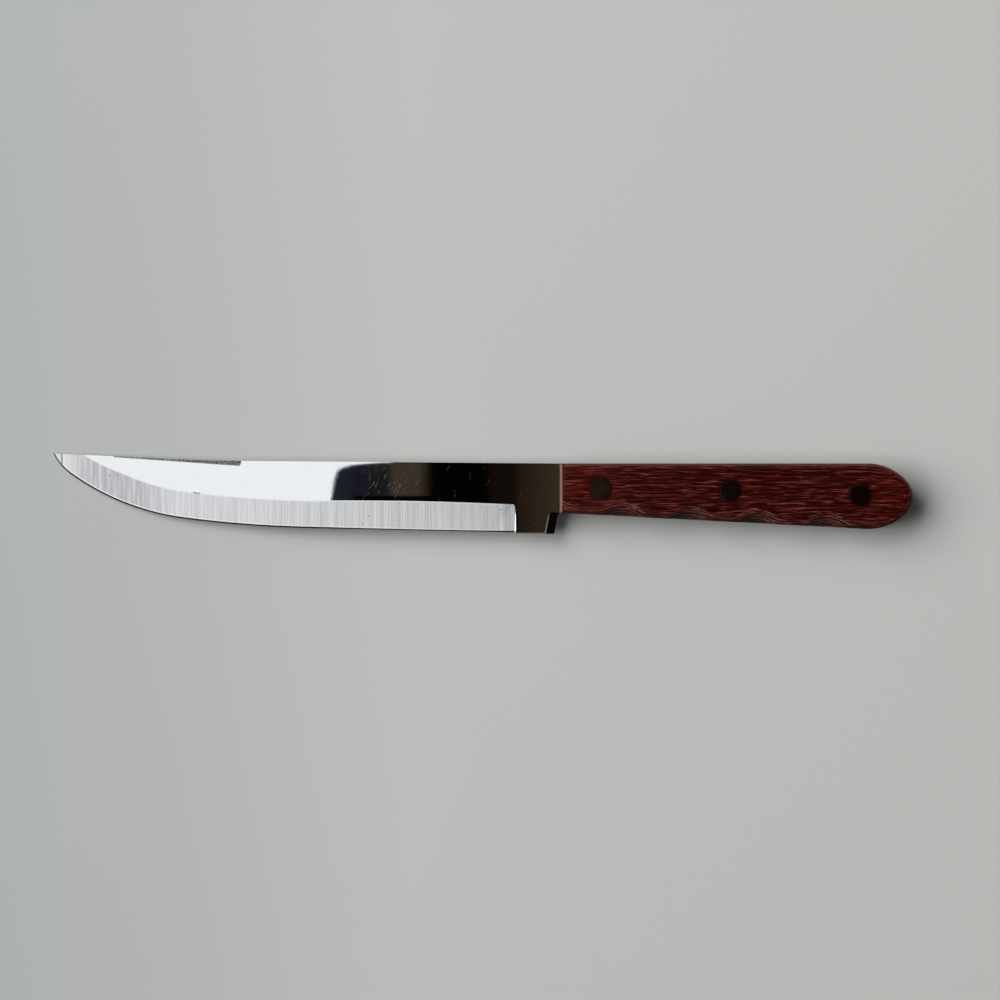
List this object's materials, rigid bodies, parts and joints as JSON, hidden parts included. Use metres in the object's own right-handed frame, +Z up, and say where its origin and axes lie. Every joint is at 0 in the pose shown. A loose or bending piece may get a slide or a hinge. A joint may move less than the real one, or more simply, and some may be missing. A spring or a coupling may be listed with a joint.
{
  "type": "carving knife",
  "caption": "Kitchen carving knife: an upswept full-tang blade between wooden scales with finger grooves, held by flush rivets.",
  "frame": {"origin": "centre of the bounding box, on the ground under the left scale's flat face", "axes": "+X along the knife from the tip toward the butt, +Y from the edge toward the spine, +Z up out of the right scale's face; the knife lies on its side"},
  "size_m": [0.3056, 0.0286, 0.0145],
  "materials": {
    "blade_steel": "mirror-polished flats, bevels satin-ground across the edge",
    "handle_wood": "dark red resin-filled laminated veneer, satin",
    "rivet_metal": "nickel silver, ground flush and dulled"
  },
  "bodies": {
    "root": {"blade": "blade_steel", "scale_right": "handle_wood", "scale_left": "handle_wood", "rivet_front_male": "rivet_metal", "rivet_front_female": "rivet_metal", "rivet_middle_male": "rivet_metal", "rivet_middle_female": "rivet_metal", "rivet_rear_male": "rivet_metal", "rivet_rear_female": "rivet_metal"}
  },
  "joints": []
}
